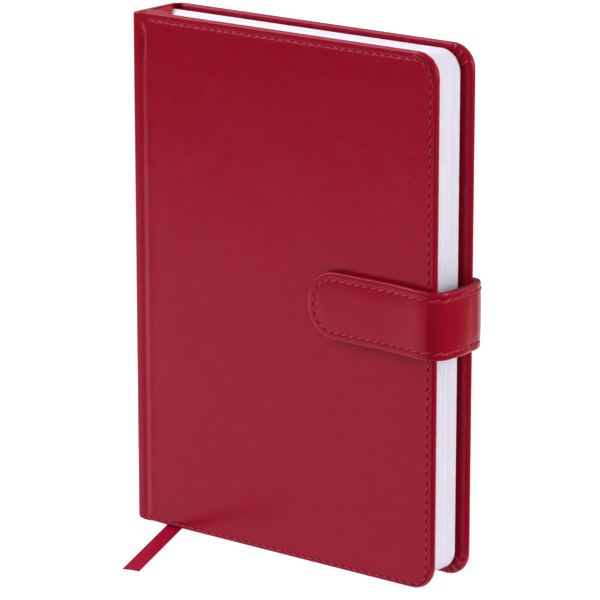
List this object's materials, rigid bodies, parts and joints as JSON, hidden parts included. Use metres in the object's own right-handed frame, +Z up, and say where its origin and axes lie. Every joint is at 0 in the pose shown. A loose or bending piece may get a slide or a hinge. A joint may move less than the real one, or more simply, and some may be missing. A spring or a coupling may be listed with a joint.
{
  "type": "planner notebook",
  "caption": "Upright hardcover planner in a padded stitched leatherette case, with a magnetic closing strap round the fore edge and a ribbon marker.",
  "frame": {"origin": "centre of the bounding box at its bottom, on the surface the planner stands on (the loose ribbon tail is not counted)", "axes": "+X from the spine to the fore edge, +Y from the front cover to the back cover, +Z up from tail to head"},
  "size_m": [0.1562, 0.0829, 0.216],
  "materials": {
    "leather": "glossy crimson leatherette",
    "lining": "satin crimson lining leatherette",
    "board": "grey board",
    "foam": "thin closed-cell foam padding",
    "paper": "off-white planner paper",
    "mull": "open-weave spine cloth with glue",
    "thread": "crimson polyester thread",
    "ribbon": "crimson satin ribbon",
    "steel": "plated steel"
  },
  "bodies": {
    "text_block": {"spine_leather": "leather", "spine_board": "board", "spine_lining": "lining", "block_lining": "mull", "section_03": "paper", "section_04": "paper", "section_05": "paper", "section_06": "paper", "section_07": "paper", "section_08": "paper", "section_09": "paper", "section_10": "paper", "section_11": "paper", "section_12": "paper", "head_fold": "leather", "tail_fold": "leather", "head_cap": "leather", "tail_cap": "leather", "head_band": "lining", "tail_band": "lining", "ribbon_run": "ribbon", "ribbon_tail": "ribbon", "front_joint_leather": "leather", "back_joint_leather": "leather"},
    "front_cover": {"front_leather": "leather", "front_padding": "foam", "front_board": "board", "latch_plate": "steel", "front_pastedown": "paper", "front_stitching": "thread"},
    "back_cover": {"back_leather": "leather", "back_padding": "foam", "back_board": "board", "back_pastedown": "paper", "back_stitching": "thread", "strap_anchor": "leather", "anchor_stitching": "thread"},
    "strap": {"strap_outer": "leather", "strap_lining": "lining", "strap_core": "board", "strap_magnet": "steel", "strap_stitching": "thread"},
    "front_flyleaf": {"front_flyleaf": "paper"},
    "first_section": {"section_01": "paper"},
    "second_section": {"section_02": "paper"},
    "back_flyleaf": {"back_flyleaf": "paper"}
  },
  "joints": [
    {"name": "front_cover_hinge", "type": "hinge", "parent": "text_block", "child": "front_cover", "pos_m": [-0.07265, -0.0135, 0.108], "axis": [0, 0, -1], "range_deg": [0, 180], "deforming": ["front_joint_leather"]},
    {"name": "back_cover_hinge", "type": "hinge", "parent": "text_block", "child": "back_cover", "pos_m": [-0.07265, 0.0135, 0.108], "axis": [0, 0, 1], "range_deg": [0, 180], "deforming": ["back_joint_leather"]},
    {"name": "strap_hinge", "type": "hinge", "parent": "back_cover", "child": "strap", "pos_m": [0.07255, 0.0151, 0.108], "axis": [0, 0, 1], "range_deg": [0, 150], "deforming": ["strap_outer", "strap_lining", "strap_core", "strap_magnet", "strap_stitching"]},
    {"name": "front_flyleaf_turn", "type": "hinge", "parent": "text_block", "child": "front_flyleaf", "pos_m": [-0.07395, -0.0099, 0.108], "axis": [0, 0, -1], "range_deg": [0, 45]},
    {"name": "first_section_turn", "type": "hinge", "parent": "text_block", "child": "first_section", "pos_m": [-0.07395, -0.00965, 0.108], "axis": [0, 0, -1], "range_deg": [0, 22.5]},
    {"name": "second_section_turn", "type": "hinge", "parent": "text_block", "child": "second_section", "pos_m": [-0.07395, -0.00822, 0.108], "axis": [0, 0, -1], "range_deg": [0, 11.25]},
    {"name": "back_flyleaf_turn", "type": "hinge", "parent": "text_block", "child": "back_flyleaf", "pos_m": [-0.07395, 0.008, 0.108], "axis": [0, 0, 1], "range_deg": [0, 45]}
  ],
  "couplings": [
    {"joint": "front_flyleaf_turn", "follows": "front_cover_hinge", "ratio": 0.25},
    {"joint": "first_section_turn", "follows": "front_cover_hinge", "ratio": 0.125},
    {"joint": "second_section_turn", "follows": "front_cover_hinge", "ratio": 0.0625},
    {"joint": "back_flyleaf_turn", "follows": "back_cover_hinge", "ratio": 0.25}
  ]
}
